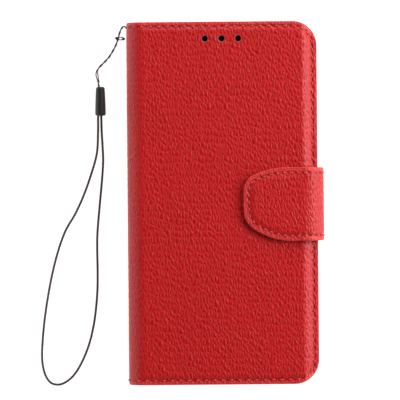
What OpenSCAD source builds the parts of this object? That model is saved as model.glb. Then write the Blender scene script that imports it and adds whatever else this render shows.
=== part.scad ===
// A folio phone wallet case, closed and lying on its back. Z is up, +Y is the top of the phone, and the
// strap is on +X. The origin is the centre of the back cover's outer face. Millimetres.

/* [Case] */
// Width of the closed case, spine to edge
case_w = 82; // [78:0.5:86]
// Length of the case, along the phone
case_l = 156; // [152:1:162]
// Height of the front cover's outer face
case_h = 17.3; // [17:0.1:18.5]
// Plan radius of the two corners away from the spine
corner_r = 10.5; // [8:0.5:12]

/* [Leather] */
// Thickness of the outer leather
skin_t = 0.9; // [0.7:0.1:1]
// Thickness of the lining
lining_t = 0.5; // [0.4:0.1:0.6]
// Thickness of the stiffening boards
board_t = 1; // [0.8:0.1:1.1]
// Width of the sewn margin outside the boards
margin_w = 3.4; // [3:0.1:4]
// Distance of the seams from the leather's edge
seam_inset = 2; // [1.6:0.1:2.4]
// Width of a seam's thread
thread_w = 0.5; // [0.4:0.1:0.8]
// Height of a seam's thread over the leather
thread_h = 0.25; // [0.2:0.05:0.3]

/* [Phone tray] */
// Width of the phone's bay
bay_w = 68.5; // [66:0.5:69]
// Length of the phone's bay
bay_l = 145.5; // [140:0.5:146]
// Height from the tray's floor to the underside of its lip
bay_h = 8.1; // [7:0.1:8.2]
// Thickness of the tray's walls
wall_t = 1.5; // [1.2:0.1:1.6]
// Thickness of the tray's floor
floor_t = 1.2; // [1:0.1:1.3]
// How far the tray's lip reaches over the phone
lip_w = 0.7; // [0.5:0.1:1]
// Plan radius of the bay's corners
bay_r = 8; // [6:0.5:10]
// Camera window: width
camera_w = 15; // [12:0.5:17]
// Camera window: length
camera_l = 29; // [24:0.5:31]

/* [Strap] */
// How far the strap stands out past the case's edge
strap_out = 2.8; // [2.7:0.1:3.2]
// Outer radius of the strap's bend over the front
strap_bend_r = 8.8; // [8.6:0.1:9]
// Gap under the closed tab
strap_gap = 0.3; // [0.3:0.1:0.5]
// Diameter of the magnet in the tab
magnet_d = 10; // [8:0.5:12]

/* [Cards and lanyard] */
// Height of the lowest card pocket's opening above the case's middle
first_pocket_y = -2; // [-8:1:4]
// Step between the openings of two card pockets
pocket_step = 12; // [8:1:14]
// Diameter of the sound holes in the front cover
sound_hole_d = 2.6; // [2:0.1:3]
// Diameter of the doubled string
string_d = 0.9; // [0.8:0.1:1.2]
// Diameter of the wrist loop's cord
loop_d = 1; // [0.8:0.1:1.4]
// Length of the bead
bead_l = 12.4; // [10:0.2:14]

/* [Hidden] */
$fn = 64;

edge_x = case_w / 2;
edge_y = case_l / 2;
leather_t = skin_t + lining_t;
inner_z = skin_t + board_t;          // underside of the back cover's lining
back_z = inner_z + lining_t;         // inner face of the back cover
far = 200;                           // longer than anything here

// Spine: an upright rim that belongs to the back cover, then an upright web and a quarter turn into the
// front cover. Its creases are at the foot of the web, in the turn, and at the front cover.
rim_r = 4.5;
rim_x = rim_r - edge_x;
rim_top = 4.15;
back_board_x = rim_x + 1.5;
web_foot = 5.65;
spine_r = 7.5;
spine_x = spine_r - edge_x;
spine_z = case_h - spine_r;
crease_gap = 0.5;
mid_crease = 150;                    // place of the middle crease on the turn, in degrees
gap_turn = 4.2;                      // degrees of the turn left free on each side of a crease

// Front cover. Its outer face falls over the margin on the strap's side.
front_x = spine_x + crease_gap;
front_board_top = case_h - skin_t;
front_board_z = front_board_top - board_t;
front_in_z = front_board_z - lining_t;
front_board_x = [front_x + 1, 35];
fall_x = 35.6;
fall_edge_z = 14.9;
sound_hole_x = [-7.1, 0.1, 7.2];
sound_hole_y = 70.7;
keeper_size = [16, 16, 0.5];
pocket_t = 0.5;
pocket_x = [-28, 34];
pocket_foot_y = -74;
cash_x = -31;
cash_top_y = 66;

// Tray.
adhesive_t = 0.2;
tray_z = back_z + adhesive_t;
bay_x = 0.25;
bay_z = tray_z + floor_t;
lip_t = 0.5;
side_slot_z = bay_z + bay_h / 2;
side_slot_h = 5.6;
camera_x = 21.5;
camera_y = 54;

// Strap: its outer face runs up the case's side and turns over the front.
strap_x = edge_x + strap_out;
strap_skin_t = 0.8;
strap_lining_t = 0.6;
strap_core_t = 1;
tab_z = case_h + strap_gap;
tab_core_z = tab_z + strap_lining_t;
tab_top = tab_core_z + strap_core_t + strap_skin_t;
turn_x = strap_x - strap_bend_r;
turn_z = tab_top - strap_bend_r;
turn_gap = 3;                        // degrees of the turn left free on each side of the strap's crease
strap_foot_z = 3;
strap_low_y = -16.4;
strap_high_y = 15.1;
strap_seam = 2.3;
anchor_x = 24;
anchor_end = edge_x + 0.5;
core_inset = 3.2;
core_end_x = turn_x - 2;
magnet_x = 19;

// The tab's outline, from the turn round its free end and back, and the same carried on past the turn.
tab_points = [[35, 15.1], [26, 15.1], [20.5, 14.3], [15.5, 12.8], [12, 11.2], [9.9, 8.6], [9.1, 5.4],
    [9, 1], [9.1, -3.4], [9.8, -7.2], [13, -11], [17.9, -13.8], [22.1, -15.4], [27.5, -16.4],
    [35, -16.4]];
strap_end_x = 50;

// Lanyard: the hole in the rim, and the two routes as they lie.
hole_y = 75.9;
hole_z = 2.6;
hole_d = 1.8;
string_points = [[-39.6, 75.9, 2.6], [-40.9, 76.2, 2.6], [-41.8, 76.9, 2.2], [-42.5, 76.8, 1.6],
    [-43.2, 75.9, 1], [-43.8, 74.7, 0.6], [-44.2, 73.5, 0.55], [-44.8, 71.3, 0.55], [-45.8, 68.6, 0.55],
    [-47.9, 64.9, 0.55], [-49.6, 62.7, 0.55], [-51.6, 60.7, 0.55], [-53, 59.3, 0.55], [-53.8, 58, 0.55],
    [-54, 56.5, 0.55], [-53.7, 54.7, 0.6], [-53.4, 53.3, 0.9], [-53.3, 52.1, 1.5], [-53.1, 50.9, 2],
    [-52.8, 49.8, 2.1]];
loop_points = [[-53.4, 39.5, 2.1], [-53.6, 37, 1.7], [-53.7, 31.5, 0.6], [-54.3, 22, 0.6],
    [-57, 12.5, 0.6], [-60.1, 4, 0.6], [-63.8, -4, 0.6], [-68.2, -11.5, 0.6], [-71.5, -20.4, 0.6],
    [-74.1, -30.2, 0.6], [-76, -39.8, 0.6], [-77.5, -49.4, 0.6], [-78.5, -59, 0.6], [-78.8, -67, 0.6],
    [-77.8, -73, 0.6], [-75.5, -77, 0.6], [-72.1, -78.2, 0.6], [-68.6, -77.1, 0.6],
    [-64.9, -73.9, 0.6], [-61.4, -68.2, 0.6], [-58.4, -60.9, 0.6], [-56.3, -52.5, 0.6], [-55.1, -44, 0.6],
    [-54.5, -35.9, 0.6], [-54.4, -27.8, 0.6], [-54.5, -19.6, 0.6], [-54.3, -12, 0.6], [-53.2, 0, 0.6],
    [-52.2, 10, 0.6], [-51.6, 18.5, 0.6], [-51.8, 25.5, 0.6], [-52.1, 31.3, 0.8], [-52.2, 37, 1.7],
    [-52.2, 39.5, 2.1]];
bead_foot = [-52.5, 38.4, 2.4];
bead_r = [2.3, 1.9];
hitch_d = 0.5;
hitch_spread = 0.37;
knots = [[-45.3, 71.9, 1], [-42.3, 71.6, 1]];
knot_r = 0.63;

function arc(x, z, r, from, to) =
    [for (i = [0:6]) let (a = from + (to - from) * i / 6) [x + r * cos(a), z + r * sin(a)]];
function unit(v) = v / norm(v);
function along(p, i) = unit(p[min(i + 1, len(p) - 1)] - p[max(i - 1, 0)]);
// One point of a smooth curve through a, b, c and d, a share t of the way from b to c.
function between(a, b, c, d, t) =
    0.5 * (2 * b + (c - a) * t + (2 * a - 5 * b + 4 * c - d) * t * t + (3 * b - a - 3 * c + d) * t * t * t);
// A smooth curve through the points, with n steps from each to the next.
function smooth(p, n) = concat([for (i = [0:len(p) - 2], k = [0:n - 1])
    between(p[max(i - 1, 0)], p[i], p[i + 1], p[min(i + 2, len(p) - 1)], k / n)], [p[len(p) - 1]]);
tab_outline = concat([[strap_end_x, strap_high_y]], smooth(tab_points, 3), [[strap_end_x, strap_low_y]]);
// The tab's outline moved inwards, which is to the left of its direction of travel.
function inwards(d) = [for (i = [0:len(tab_outline) - 1])
    tab_outline[i] + d * [-along(tab_outline, i)[1], along(tab_outline, i)[0]]];

// A section drawn in X and Z, carried along Y from one place to another.
module across(low_y, high_y) {
    translate([0, high_y, 0]) rotate([90, 0, 0]) linear_extrude(high_y - low_y) children();
}

module full_length() {
    across(-edge_y, edge_y) children();
}

// Two short lengths of a section, where the seams of the two ends run.
module seam_lines(low_y, high_y) {
    for (y = [low_y, high_y]) across(y - thread_w / 2, y + thread_w / 2) children();
}

// A plate with round corners on the strap's side only, this far inside the cover's edge.
module cover(low_x, inset) {
    r = corner_r - inset;
    x = edge_x - inset - r;
    y = edge_y - inset - r;
    translate([low_x, -y - r]) square([x - low_x, 2 * (y + r)]);
    translate([x, -y]) square([r, 2 * y]);
    for (side = [-1, 1]) translate([x, side * y]) circle(r);
}

// The line of a seam along three edges of a cover.
module seam(low_x) {
    difference() {
        cover(low_x, seam_inset - thread_w / 2);
        cover(low_x - 1, seam_inset + thread_w / 2);
    }
}

// A rectangle with four round corners about a centre.
module rounded(x, y, w, l, r) {
    translate([x - w / 2 + r, y - l / 2]) square([w - 2 * r, l]);
    translate([x - w / 2, y - l / 2 + r]) square([w, l - 2 * r]);
    for (i = [-1, 1], j = [-1, 1]) translate([x + i * (w / 2 - r), y + j * (l / 2 - r)]) circle(r);
}

module camera_window(grow) {
    translate([0, 0, -1]) linear_extrude(bay_z + 2)
        rounded(camera_x, camera_y, camera_w + 2 * grow, camera_l + 2 * grow, camera_w / 2 - 0.6 + grow);
}

module lanyard_hole() {
    translate([-edge_x - 1, hole_y, hole_z]) rotate([0, 90, 0]) cylinder(d = hole_d, h = 4);
}

module sound_holes() {
    for (x = sound_hole_x) translate([x, sound_hole_y, 0]) cylinder(d = sound_hole_d, h = far, $fn = 32);
}

// A round tube swept along a route, with eight sides.
module tube(route, d) {
    n = len(route);
    rings = [for (i = [0:n - 1], k = [0:7]) let (t = along(route, i), s = unit(cross(t, [0, 0, 1])),
        u = cross(s, t)) route[i] + d / 2 * (cos(45 * k + 22.5) * s + sin(45 * k + 22.5) * u)];
    sides = [for (i = [0:n - 2], k = [0:7]) let (m = (k + 1) % 8)
        [8 * i + k, 8 * i + 8 + k, 8 * i + 8 + m, 8 * i + m]];
    polyhedron(rings, concat([[for (k = [0:7]) k]], sides, [[for (k = [7:-1:0]) 8 * n - 8 + k]]));
}

// The rim's section between two radii. Below fill_z it is solid, down to low_z.
module rim_section(r_out, r_in, low_z, fill_z) {
    difference() {
        intersection() {
            translate([rim_x, rim_r]) circle(r_out);
            translate([-edge_x, low_z]) square([rim_r, rim_top - low_z]);
        }
        intersection() {
            translate([rim_x, rim_r]) circle(r_in);
            translate([-edge_x, fill_z]) square([rim_r + 1, rim_r]);
        }
    }
}

// The anchor's place between the back cover's leather and lining, in Y.
module anchor_box(low_x, high_x) {
    translate([low_x, strap_low_y, skin_t]) cube([high_x - low_x, strap_high_y - strap_low_y, board_t]);
}

module anchor_seam() {
    y = (strap_low_y + strap_high_y) / 2;
    w = edge_x - margin_w - anchor_x - 2 * seam_inset;
    l = strap_high_y - strap_low_y - 2 * strap_seam;
    x = anchor_x + seam_inset + w / 2;
    difference() {
        translate([x - w / 2, y - l / 2]) square([w, l]);
        translate([x - w / 2 + thread_w, y - l / 2 + thread_w]) square([w - 2 * thread_w, l - 2 * thread_w]);
    }
}

module back_skin() {
    color("firebrick") difference() {
        union() {
            linear_extrude(inner_z) cover(rim_x, 0);
            full_length() rim_section(rim_r, rim_r - skin_t, 0, inner_z);
        }
        translate([0, 0, skin_t]) linear_extrude(far) cover(back_board_x, margin_w);
        anchor_box(anchor_x, edge_x + 1);
        translate([0, 0, thread_h - 1]) linear_extrude(1) seam(rim_x);
        translate([0, 0, thread_h - 1]) linear_extrude(1) anchor_seam();
        camera_window(0);
        lanyard_hole();
    }
}

module back_board() {
    color("dimgray") difference() {
        translate([0, 0, skin_t]) linear_extrude(board_t) cover(back_board_x, margin_w);
        anchor_box(anchor_x, edge_x);
        camera_window(0);
    }
}

module back_lining() {
    color("indianred") difference() {
        union() {
            translate([0, 0, inner_z]) linear_extrude(lining_t) cover(rim_x, 0);
            full_length() rim_section(rim_r - skin_t, rim_r - leather_t, inner_z, back_z);
        }
        camera_window(0);
        lanyard_hole();
    }
}

// The threads under the back cover lie in grooves, just clear of the table.
module back_thread() {
    color("red") translate([0, 0, 0.05]) linear_extrude(thread_h - 0.05) children();
}

module back_stitching() {
    back_thread() seam(rim_x);
}

module strap_anchor() {
    color("brown") anchor_box(anchor_x, anchor_end);
}

module strap_anchor_stitching() {
    back_thread() anchor_seam();
}

module tray_adhesive() {
    color("gainsboro") difference() {
        translate([0, 0, back_z]) linear_extrude(adhesive_t) rounded(bay_x, 0, bay_w - 6, bay_l - 6, bay_r);
        camera_window(1);
    }
}

// A slot through one of the tray's long walls, centred at this height above the case's middle.
module button_slot(wall_x, y, l) {
    translate([wall_x - wall_t, 0, 0]) rotate([90, 0, 90])
        linear_extrude(2 * wall_t) rounded(y, side_slot_z, l, side_slot_h, side_slot_h / 2 - 0.3);
}

module phone_tray() {
    color("black") difference() {
        translate([0, 0, tray_z]) linear_extrude(floor_t + bay_h + lip_t)
            rounded(bay_x, 0, bay_w + 2 * wall_t, bay_l + 2 * wall_t, bay_r + wall_t);
        translate([0, 0, bay_z]) linear_extrude(bay_h) rounded(bay_x, 0, bay_w, bay_l, bay_r);
        translate([0, 0, bay_z]) linear_extrude(far)
            rounded(bay_x, 0, bay_w - 2 * lip_w, bay_l - 2 * lip_w, bay_r - lip_w);
        across(-bay_l / 2 - 2 * wall_t, -bay_l / 2 + wall_t)
            rounded(bay_x, side_slot_z, 42, side_slot_h, side_slot_h / 2 - 0.3);
        button_slot(bay_x + bay_w / 2, 32, 20);
        button_slot(bay_x - bay_w / 2 - wall_t, 31, 34);
        camera_window(0);
    }
}

module lanyard_string() {
    color("black") tube(smooth(string_points, 3), string_d);
}

module wrist_loop() {
    color("black") tube(smooth(loop_points, 2), loop_d);
}

module lanyard_hitch() {
    reach = knots[1] - knots[0];
    color("black") {
        for (side = [-1, 1])
            translate(knots[0]) rotate([0, 0, atan2(reach[1], reach[0])])
                translate([0, side * hitch_spread, 0]) rotate([0, 90, 0]) cylinder(d = hitch_d, h = norm(reach));
        for (place = knots) translate(place) sphere(knot_r, $fn = 24);
    }
}

module lanyard_bead() {
    color("black") translate(bead_foot) rotate([-90 - atan((bead_r[0] - bead_r[1]) / bead_l), 0, 0])
        cylinder(r1 = bead_r[0], r2 = bead_r[1], h = bead_l);
}

// One layer of a spine segment, between two distances outside the spine's outer face. The first segment is
// the web and the start of the turn, and the second is the rest of the turn.
module spine_section(i, out, in) {
    from = i == 1 ? 180 : mid_crease - gap_turn;
    to = i == 1 ? mid_crease + gap_turn : 90 + gap_turn;
    polygon(concat(i == 1 ? [[-edge_x - out, web_foot]] : [],
        arc(spine_x, spine_z, spine_r + out, from, to), arc(spine_x, spine_z, spine_r + in, to, from),
        i == 1 ? [[-edge_x - in, web_foot]] : []));
}

module spine_skin(i) {
    color("firebrick") full_length() spine_section(i, 0, -skin_t);
}

module spine_lining(i) {
    color("indianred") full_length() spine_section(i, -skin_t, -leather_t);
}

module spine_stitching(i) {
    color("red") seam_lines(seam_inset - edge_y, edge_y - seam_inset) spine_section(i, thread_h, 0);
}

// One layer of the front cover: its upper face and its lower face, each with its height at the strap's edge.
module front_layer(top, edge_top, low, edge_low) {
    intersection() {
        full_length() polygon([[front_x, top], [fall_x, top], [edge_x, edge_top],
            [edge_x, edge_low], [fall_x, low], [front_x, low]]);
        linear_extrude(far) cover(front_x, 0);
    }
}

module front_skin() {
    color("firebrick") difference() {
        front_layer(case_h, fall_edge_z, front_board_z, fall_edge_z - skin_t);
        front_board_place();
        sound_holes();
    }
}

module front_board_place() {
    translate([0, 0, front_board_z]) linear_extrude(board_t) intersection() {
        cover(front_board_x[0], margin_w);
        translate([front_board_x[0], -edge_y]) square([front_board_x[1] - front_board_x[0], case_l]);
    }
}

module keeper_plate() {
    foot = [magnet_x, 0, front_board_top] - [keeper_size[0] / 2, keeper_size[1] / 2, keeper_size[2]];
    color("silver") translate(foot) cube(keeper_size);
}

module front_board() {
    color("dimgray") difference() {
        front_board_place();
        keeper_plate();
        sound_holes();
    }
}

module front_lining() {
    color("indianred") difference() {
        front_layer(front_board_z, fall_edge_z - skin_t, front_in_z, fall_edge_z - leather_t);
        sound_holes();
    }
}

module front_stitching() {
    color("red") intersection() {
        front_layer(case_h + thread_h, fall_edge_z + thread_h, case_h, fall_edge_z);
        linear_extrude(far) seam(front_x);
    }
}

module cash_pocket() {
    color("indianred") translate([cash_x, pocket_foot_y, front_in_z - pocket_t])
        cube([pocket_x[1] - cash_x, cash_top_y - pocket_foot_y, pocket_t]);
}

// Card pockets lie on each other. The first one's opening is the lowest, and it lies on top.
module card_pocket(i) {
    top_y = first_pocket_y + (i - 1) * pocket_step;
    color("indianred") translate([pocket_x[0], pocket_foot_y, front_in_z - (5 - i) * pocket_t])
        cube([pocket_x[1] - pocket_x[0], top_y - pocket_foot_y, pocket_t]);
}

module card_pocket_stitching() {
    w = pocket_x[1] - pocket_x[0] - 2 * seam_inset;
    l = first_pocket_y - pocket_foot_y - seam_inset;
    z = front_in_z - 4 * pocket_t - thread_h;
    color("red") translate([pocket_x[0] + seam_inset, pocket_foot_y + seam_inset, z])
        linear_extrude(thread_h) difference() {
            square([w, l]);
            translate([thread_w, thread_w]) square([w - 2 * thread_w, l]);
        }
}

// An arc of the strap's turn over the front, this far inside its outer face.
function turn(in, from, to) = arc(turn_x, turn_z, strap_bend_r - in, from, to);

// One layer of the strap's side, with the lower half of the turn.
module side_section(out, in) {
    polygon(concat([[strap_x - out, strap_foot_z]], turn(out, 0, 45 - turn_gap), turn(in, 45 - turn_gap, 0),
        [[strap_x - in, strap_foot_z]]));
}

// One layer of the tab, with the upper half of the turn, and the flat points of its two faces.
module tab_section(out, in, top, low) {
    full_length() polygon(concat(turn(out, 45 + turn_gap, 90), top, low, turn(in, 90, 45 + turn_gap)));
}

module strap_side_skin() {
    color("firebrick") across(strap_low_y, strap_high_y) side_section(0, strap_skin_t);
}

module strap_side_lining() {
    color("indianred") across(strap_low_y, strap_high_y)
        side_section(strap_skin_t, strap_skin_t + strap_lining_t);
}

module strap_side_stitching() {
    color("red") seam_lines(strap_low_y + strap_seam, strap_high_y - strap_seam) side_section(-thread_h, 0);
}

// Everything inside the tab's outline, this far from its edge.
module tab_shape(inset) {
    linear_extrude(far) polygon(inwards(inset));
}

module core_place() {
    translate([0, 0, tab_core_z]) intersection() {
        tab_shape(core_inset);
        translate([0, -edge_y, 0]) cube([core_end_x, case_l, strap_core_t]);
    }
}

module strap_tab_skin() {
    color("firebrick") difference() {
        intersection() {
            tab_section(0, strap_skin_t, [[0, tab_top]], [[0, tab_core_z], [core_end_x, tab_core_z]]);
            tab_shape(0);
        }
        core_place();
    }
}

module strap_tab_lining() {
    color("indianred") intersection() {
        tab_section(strap_skin_t, strap_skin_t + strap_lining_t,
            [[core_end_x, tab_core_z], [0, tab_core_z]], [[0, tab_z], [core_end_x, tab_z]]);
        tab_shape(0);
    }
}

module strap_magnet() {
    color("silver") translate([magnet_x, 0, tab_core_z]) cylinder(d = magnet_d, h = strap_core_t);
}

module strap_core() {
    color("dimgray") difference() {
        core_place();
        strap_magnet();
    }
}

module strap_tab_stitching() {
    color("red") intersection() {
        tab_section(-thread_h, 0, [[0, tab_top + thread_h]], [[0, tab_top]]);
        difference() {
            tab_shape(strap_seam - thread_w / 2);
            tab_shape(strap_seam + thread_w / 2);
        }
    }
}

back_skin();
back_board();
back_lining();
back_stitching();
tray_adhesive();
phone_tray();
strap_anchor();
strap_anchor_stitching();
lanyard_string();
lanyard_hitch();
lanyard_bead();
wrist_loop();
for (i = [1:2]) {
    spine_skin(i);
    spine_lining(i);
    spine_stitching(i);
}
for (i = [1:3]) {
    card_pocket(i);
}
front_skin();
front_board();
front_lining();
front_stitching();
keeper_plate();
cash_pocket();
card_pocket_stitching();
strap_side_skin();
strap_side_lining();
strap_side_stitching();
strap_tab_skin();
strap_tab_lining();
strap_core();
strap_magnet();
strap_tab_stitching();
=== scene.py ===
"""The looks of a folio phone wallet case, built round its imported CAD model. Lengths are in millimetres
until a mesh is made, and +Y is the top of the phone."""

import math

import bpy
import numpy as np
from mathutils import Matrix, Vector
from mathutils.geometry import delaunay_2d_cdt
from mathutils.kdtree import KDTree


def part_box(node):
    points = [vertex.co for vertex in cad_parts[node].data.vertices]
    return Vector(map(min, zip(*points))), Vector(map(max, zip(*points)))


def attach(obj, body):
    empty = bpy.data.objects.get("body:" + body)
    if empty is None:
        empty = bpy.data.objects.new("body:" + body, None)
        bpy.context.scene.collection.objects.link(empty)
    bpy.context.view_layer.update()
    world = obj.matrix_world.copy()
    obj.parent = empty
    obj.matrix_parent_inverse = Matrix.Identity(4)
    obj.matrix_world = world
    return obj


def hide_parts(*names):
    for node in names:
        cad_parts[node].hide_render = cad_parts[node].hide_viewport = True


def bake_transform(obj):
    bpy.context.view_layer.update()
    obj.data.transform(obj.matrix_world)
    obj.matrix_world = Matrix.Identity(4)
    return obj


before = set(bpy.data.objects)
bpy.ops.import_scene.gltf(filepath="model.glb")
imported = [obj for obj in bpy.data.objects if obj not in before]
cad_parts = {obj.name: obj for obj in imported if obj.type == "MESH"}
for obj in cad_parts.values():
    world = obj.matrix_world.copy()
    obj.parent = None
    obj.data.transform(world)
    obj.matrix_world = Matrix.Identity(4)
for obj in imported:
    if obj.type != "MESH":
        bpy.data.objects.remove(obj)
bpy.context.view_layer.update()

MM = 0.001


def cad(node):
    """A CAD node's lowest and highest corners, in millimetres."""
    low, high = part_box(node)
    return np.array(low) / MM, np.array(high) / MM


# ---------------------------------------------------------------- camera
camera = bpy.data.objects.new("camera", bpy.data.cameras.new("camera"))
bpy.context.collection.objects.link(camera)
bpy.context.scene.camera = camera
VIEW_AT = (-9.7, 1.4)
VIEW_WIDTH = 171.7
CAMERA_HEIGHT = 1500.0
VIEW_TURN = math.radians(-0.5)
CASE_H = cad("front_skin")[1][2]
camera.location = (VIEW_AT[0] * MM, VIEW_AT[1] * MM, CAMERA_HEIGHT * MM)
camera.rotation_euler = (0, 0, VIEW_TURN)
camera.data.sensor_width = 36
camera.data.lens = camera.data.sensor_width * (CAMERA_HEIGHT - CASE_H) / VIEW_WIDTH
camera.data.clip_start = 0.05
camera.data.clip_end = 10


# ---------------------------------------------------------------- numbers
def step(x, low, high):
    """0 below low, 1 above high and smooth between."""
    t = np.clip((np.asarray(x, float) - low) / (high - low), 0, 1)
    return t * t * (3 - 2 * t)


def hump(x, width):
    """1 at x = 0, falling away over this width on either side."""
    return np.exp(-((np.asarray(x, float) / width) ** 2))


def rounding(d, width, fall=None):
    """How far an edge rounded over this width has fallen, this far inside it."""
    return (fall or width) * (1 - np.sqrt(1 - (1 - np.clip(d, 0, width) / width) ** 2))


def smooth(points, n):
    """A smooth curve through the points, with n steps from each to the next."""
    p = np.array(points, float)
    out = []
    for i in range(len(p) - 1):
        a, b, c, d = p[max(i - 1, 0)], p[i], p[i + 1], p[min(i + 2, len(p) - 1)]
        for k in range(n):
            t = k / n
            cubic = (2 * a - 5 * b + 4 * c - d) * t * t + (3 * b - a - 3 * c + d) * t**3
            out.append(0.5 * (2 * b + (c - a) * t + cubic))
    out.append(p[-1])
    return np.array(out)


def lengths(p):
    """Distance along a polyline to each of its points."""
    return np.concatenate([[0], np.cumsum(np.linalg.norm(np.diff(p, axis=0), axis=1))])


def spaced(p, pitch):
    """The polyline again, with points about this far apart."""
    s = lengths(p)
    at = np.linspace(0, s[-1], max(2, int(round(s[-1] / pitch)) + 1))
    return np.stack([np.interp(at, s, p[:, k]) for k in range(p.shape[1])], axis=1)


def unit(v):
    return v / np.maximum(np.linalg.norm(v, axis=-1, keepdims=True), 1e-9)


def frames(p):
    """Tangent, sideways and upward directions along a route that never runs straight up."""
    t = unit(np.gradient(p, axis=0))
    s = unit(np.cross(t, [0.0, 0.0, 1.0]))
    return t, s, np.cross(s, t)


# ---------------------------------------------------------------- materials
class Nodes:
    """Short ways of adding nodes to a shader or geometry tree."""

    def __init__(self, tree):
        self.tree = tree

    def add(self, kind, inputs=(), **settings):
        node = self.tree.nodes.new(kind)
        for key, value in settings.items():
            setattr(node, key, value)
        for key, value in dict(inputs).items():
            self.put(node.inputs[key], value)
        return node

    def put(self, socket, value):
        if isinstance(value, bpy.types.NodeSocket):
            self.tree.links.new(value, socket)
        else:
            socket.default_value = value

    def math(self, operation, a, b=0.0, clamp=False):
        node = self.add("ShaderNodeMath", {0: a, 1: b}, operation=operation, use_clamp=clamp)
        return node.outputs[0]

    def vector(self, operation, a, b):
        return self.add("ShaderNodeVectorMath", {0: a, 1: b}, operation=operation).outputs[0]

    def ramp(self, value, low, high, to_low=0.0, to_high=1.0):
        """A smooth step of value from low to high, scaled between two other numbers."""
        node = self.add(
            "ShaderNodeMapRange",
            {"Value": value, "From Min": low, "From Max": high, "To Min": to_low, "To Max": to_high},
            interpolation_type="SMOOTHSTEP",
        )
        return node.outputs["Result"]

    def noise(self, where, scale, detail=2.0, roughness=0.5):
        node = self.add(
            "ShaderNodeTexNoise",
            {"Vector": where, "Scale": scale, "Detail": detail, "Roughness": roughness},
        )
        return node.outputs[0]

    def mix(self, share, a, b):
        """Colour a turning into colour b."""
        node = self.add("ShaderNodeMix", {"Factor": share, 6: a, 7: b}, data_type="RGBA")
        return node.outputs[2]


CELL = (1.25, 2.9, 1.0)  # the size of the grain's pebbles
HOLE_SHADE = (0.22, 0.001, 0.002, 1)
RAW_EDGE = (0.30, 0.12, 0.10, 1)


def grain(nodes, where):
    """The height of the leather's grain at a place on the hide, from 0 in its creases to 1 on its pebbles."""
    wander = nodes.add("ShaderNodeTexNoise", {"Vector": where, "Scale": 0.42, "Detail": 2.0})
    shift = nodes.vector("SUBTRACT", wander.outputs[1], (0.5, 0.5, 0.5))
    moved = nodes.vector("ADD", where, nodes.vector("MULTIPLY", shift, (2.0, 1.6, 0.0)))
    heights = []
    for cell, reach in ((1.0, 0.5), (0.55, 0.4)):
        place = nodes.vector("DIVIDE", moved, tuple(cell * c for c in CELL))
        cells = nodes.add(
            "ShaderNodeTexVoronoi",
            {"Vector": place, "Scale": 1.0, "Randomness": 0.95},
            feature="DISTANCE_TO_EDGE",
            voronoi_dimensions="2D",
        )
        slope = nodes.math("DIVIDE", cells.outputs["Distance"], reach, clamp=True)
        heights.append(nodes.math("POWER", slope, 0.7))
    fine = nodes.math("MULTIPLY_ADD", heights[1], 0.2)
    fine.node.inputs[2].default_value = 0.8
    return nodes.math("MULTIPLY", heights[0], fine)


def grain_height(u, v):
    """The same grain's height at places on the hide, in millimetres, read back from geometry nodes."""
    tree = bpy.data.node_groups.new("grain_probe", "GeometryNodeTree")
    tree.interface.new_socket("Geometry", in_out="INPUT", socket_type="NodeSocketGeometry")
    tree.interface.new_socket("Geometry", in_out="OUTPUT", socket_type="NodeSocketGeometry")
    nodes = Nodes(tree)
    source = nodes.add("NodeGroupInput").outputs[0]
    height = grain(nodes, nodes.add("GeometryNodeInputPosition").outputs[0])
    offset = nodes.add("ShaderNodeCombineXYZ", {"Z": height}).outputs[0]
    moved = nodes.add("GeometryNodeSetPosition", {"Geometry": source, "Offset": offset}).outputs[0]
    nodes.add("NodeGroupOutput", {0: moved})
    mesh = bpy.data.meshes.new("grain_probe")
    mesh.from_pydata(np.stack([u, v, np.zeros(len(u))], axis=1).tolist(), [], [])
    probe = bpy.data.objects.new("grain_probe", mesh)
    bpy.context.collection.objects.link(probe)
    probe.modifiers.new("grain", "NODES").node_group = tree
    seen = probe.evaluated_get(bpy.context.evaluated_depsgraph_get()).data
    out = np.empty(len(u) * 3, np.float32)
    seen.vertices.foreach_get("co", out)
    bpy.data.objects.remove(probe)
    bpy.data.meshes.remove(mesh)
    bpy.data.node_groups.remove(tree)
    return out.reshape(-1, 3)[:, 2].astype(float)


def material(name):
    """A new material with its nodes and its main shader."""
    made = bpy.data.materials.new(name)
    made.use_nodes = True
    nodes = Nodes(made.node_tree)
    return made, nodes, made.node_tree.nodes["Principled BSDF"]


def bump(nodes, shader, height, distance, strength=1.0):
    node = nodes.add("ShaderNodeBump", {"Height": height, "Distance": distance * MM, "Strength": strength})
    nodes.put(shader.inputs["Normal"], node.outputs[0])


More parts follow.
